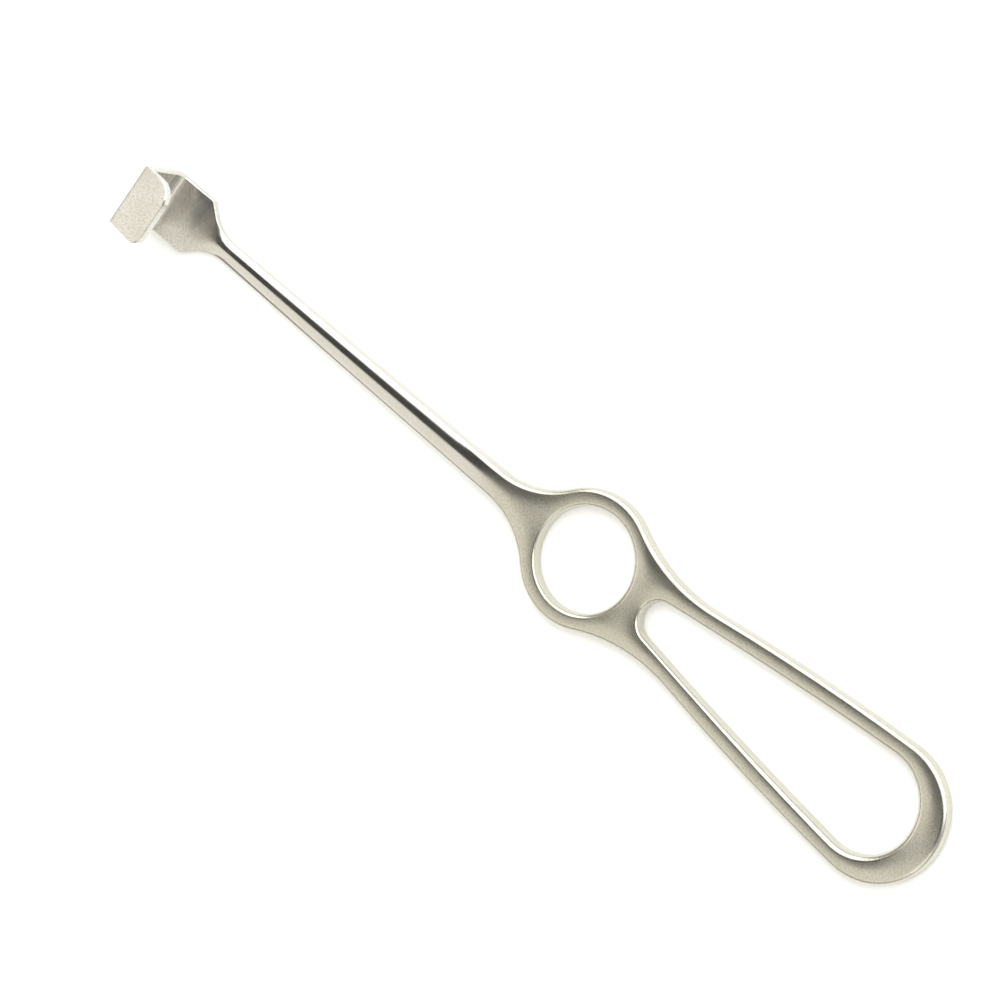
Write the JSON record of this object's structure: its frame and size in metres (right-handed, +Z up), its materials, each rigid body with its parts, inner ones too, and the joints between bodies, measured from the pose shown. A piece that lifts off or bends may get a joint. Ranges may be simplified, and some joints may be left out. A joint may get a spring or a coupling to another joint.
{
  "type": "handheld surgical retractor",
  "caption": "Handheld surgical retractor of solid steel: narrow turned-up blade with a lip, slim rounded shank, finger ring and long teardrop loop handle.",
  "frame": {"origin": "on the flat back, at half the overall length and half the overall width", "axes": "+X along the handle from the blade to the loop, +Y across it, +Z up from the flat back to the blade's lip"},
  "size_m": [0.24, 0.033, 0.0191],
  "materials": {
    "steel": "satin"
  },
  "bodies": {
    "root": {"retractor": "steel"}
  },
  "joints": []
}
